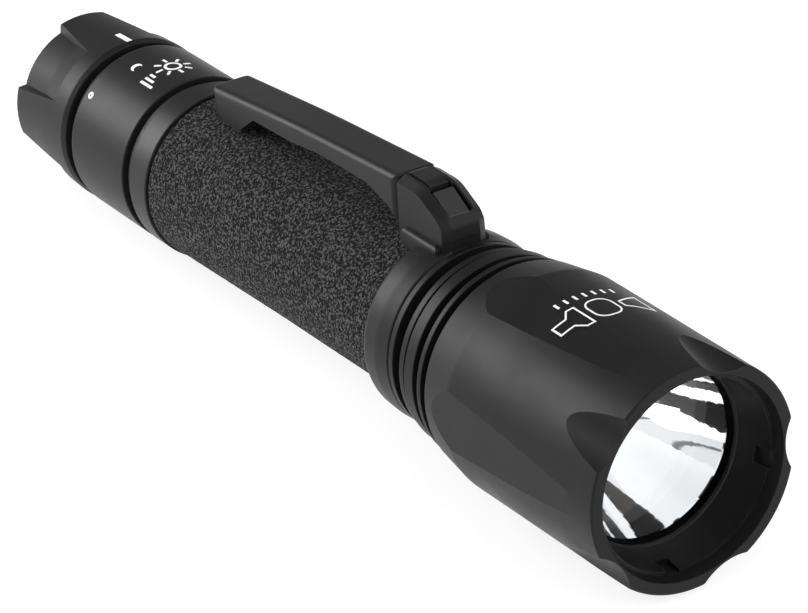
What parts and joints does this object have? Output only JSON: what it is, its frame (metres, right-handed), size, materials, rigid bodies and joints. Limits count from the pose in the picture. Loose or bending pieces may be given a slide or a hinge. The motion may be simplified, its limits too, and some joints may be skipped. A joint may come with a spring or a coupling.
{
  "type": "tactical flashlight",
  "caption": "Tactical hand torch: lobed head with reflector and lens, foam grip, spring pocket clip with release button, unscrewing tail with rotary selector and push button.",
  "frame": {"origin": "on the torch's axis, half way along its whole length, inside the grip", "axes": "+X along the axis in the direction of the beam, +Z from the axis towards the pocket clip, +Y completes the right-handed set"},
  "size_m": [0.1508, 0.0314, 0.0361],
  "materials": {
    "anodised": "matt black hard anodised, bead blasted",
    "clip_black": "matt black hard anodised",
    "button_plastic": "moulded, fine grain",
    "foam_grip": "pebbled foam",
    "black_rubber": "smooth, lightly greased",
    "boot_rubber": "moulded, matt",
    "lens_glass": "polished, anti-reflective",
    "reflector_mirror": "smooth vapour-plated",
    "white_plastic": "moulded",
    "led_silicone": "clear silicone dome over yellow phosphor",
    "board_aluminium": "white solder mask on metal core",
    "brass": "turned",
    "wire_insulation": "silicone sleeve",
    "circuit_board": "green solder mask",
    "chip_plastic": "moulded epoxy",
    "cell_case": "shrink-wrapped steel can",
    "plated_steel": "nickel plated",
    "spring_steel": "tempered",
    "mark_white": "laser-marked white"
  },
  "bodies": {
    "torch": {"head_housing": "anodised", "bezel_ring": "anodised", "lens_gasket": "black_rubber", "lens": "lens_glass", "reflector": "reflector_mirror", "emitter_gasket": "white_plastic", "led_emitter": "led_silicone", "led_board": "board_aluminium", "led_pill": "brass", "led_wires": "wire_insulation", "driver_board": "circuit_board", "driver_parts": "chip_plastic", "driver_ring": "brass", "front_contact": "brass", "battery_tube": "anodised", "head_o_ring": "black_rubber", "grip_sleeve": "foam_grip", "battery_cell": "cell_case", "battery_terminal": "plated_steel", "battery_insulator": "white_plastic", "clip_collar": "clip_black", "clip_pin": "spring_steel", "clip_spring": "spring_steel", "button_pad": "black_rubber", "beam_icon": "mark_white"},
    "tail_seal": {"tail_o_ring": "black_rubber"},
    "tail_unit": {"switch_housing": "anodised", "selector_seal": "black_rubber", "snap_ring": "spring_steel", "detent_ball": "plated_steel", "detent_band": "spring_steel", "switch_body": "chip_plastic", "switch_board": "circuit_board", "switch_ring": "brass", "tail_spring": "plated_steel", "index_dot": "mark_white", "mode_icon": "mark_white"},
    "selector": {"selector_cap": "anodised", "index_bar": "mark_white"},
    "tail_button": {"button_boot": "boot_rubber", "button_plunger": "white_plastic"},
    "clip": {"clip_arm": "clip_black"},
    "clip_latch": {"release_button": "button_plastic"}
  },
  "joints": [
    {"name": "tail_unscrew_travel", "type": "slide", "parent": "torch", "child": "tail_seal", "axis": [-1, 0, 0], "range_m": [0, 0.006]},
    {"name": "tail_unscrew_turn", "type": "hinge", "parent": "tail_seal", "child": "tail_unit", "pos_m": [-0.05, 0, 0], "axis": [-1, 0, 0], "range_deg": [0, 1440]},
    {"name": "selector_turn", "type": "hinge", "parent": "tail_unit", "child": "selector", "pos_m": [-0.066, 0, 0], "axis": [1, 0, 0], "range_deg": [0, 48]},
    {"name": "tail_button_press", "type": "slide", "parent": "selector", "child": "tail_button", "axis": [1, 0, 0], "range_m": [0, 0.0016], "stiffness_N_per_m": 2000, "springref_m": -0.0015},
    {"name": "clip_lift", "type": "hinge", "parent": "torch", "child": "clip", "pos_m": [0.018, 0, 0.0176], "axis": [0, 1, 0], "range_deg": [0, 6], "stiffness_Nm_per_rad": 4, "springref_deg": -1.72},
    {"name": "clip_release_press", "type": "slide", "parent": "torch", "child": "clip_latch", "axis": [0, 0, -1], "range_m": [0, 0.0008], "stiffness_N_per_m": 3000, "springref_m": -0.0008}
  ],
  "couplings": [
    {"joint": "tail_unscrew_turn", "follows": "tail_unscrew_travel", "rad_per_m": 4188.8}
  ]
}
